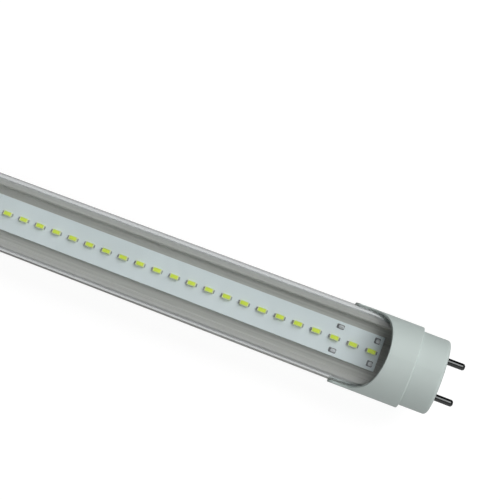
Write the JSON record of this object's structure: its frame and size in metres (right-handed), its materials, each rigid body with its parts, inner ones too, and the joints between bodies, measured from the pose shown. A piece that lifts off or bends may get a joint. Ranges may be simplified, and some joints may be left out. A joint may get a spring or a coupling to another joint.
{
  "type": "led light tube",
  "caption": "Straight tubular LED lamp: aluminium back, clear half-round cover over a row of LEDs on a white board, and a moulded two-pin cap at each end.",
  "frame": {"origin": "middle of the tube's axis, at the centre of its bounding box", "axes": "+X along the tube towards the supply cap, +Z out of the side that shines, +Y parallel to the line of a cap's two pins"},
  "size_m": [0.604, 0.0286, 0.0286],
  "materials": {
    "aluminium": "satin, extruded and anodised",
    "clear_plastic": "clear, gloss",
    "board_white": "white solder mask on metal core, satin",
    "tape": "matte",
    "led_housing": "matte",
    "phosphor": "satin",
    "solder": "satin tin",
    "cap_plastic": "satin moulded polycarbonate",
    "pin_nickel": "nickel plated, polished",
    "brass": "satin",
    "screw_steel": "zinc plated",
    "driver_laminate": "satin phenolic laminate",
    "insulating_film": "translucent film",
    "copper": "enamelled copper",
    "ferrite": "matte",
    "black_epoxy": "matte",
    "blue_epoxy": "gloss",
    "green_epoxy": "gloss",
    "red_epoxy": "gloss",
    "can_aluminium": "satin",
    "can_film": "gloss",
    "yellow_tape": "satin polyester tape",
    "wire_brown": "satin",
    "wire_blue": "satin",
    "wire_red": "satin",
    "wire_black": "satin"
  },
  "bodies": {
    "root": {"heat_sink": "aluminium", "clear_cover": "clear_plastic", "led_board": "board_white", "thermal_tape": "tape", "led_packages": "led_housing", "led_phosphors": "phosphor", "led_terminals": "solder", "led_rear_terminals": "solder", "end_pads": "solder", "test_pads": "solder", "end_cap_supply": "cap_plastic", "end_cap_far": "cap_plastic", "supply_pins": "pin_nickel", "far_pins": "pin_nickel", "pin_washers": "brass", "pin_link": "brass", "cap_screws": "screw_steel", "driver_board": "driver_laminate", "driver_sleeve": "insulating_film", "component_leads": "solder", "axial_legs": "solder", "solder_joints": "solder", "fuse_resistor": "green_epoxy", "varistor": "blue_epoxy", "bridge_rectifier": "black_epoxy", "inductor_core": "ferrite", "inductor_winding": "copper", "film_capacitor": "red_epoxy", "electrolytic_cans": "can_aluminium", "capacitor_jackets": "can_film", "driver_chip": "black_epoxy", "transformer_core": "ferrite", "transformer_winding": "yellow_tape", "output_diode": "black_epoxy", "chip_resistors": "black_epoxy", "live_wire": "wire_brown", "neutral_wire": "wire_blue", "positive_wire": "wire_red", "negative_wire": "wire_black", "conductor_ends": "solder"}
  },
  "joints": []
}
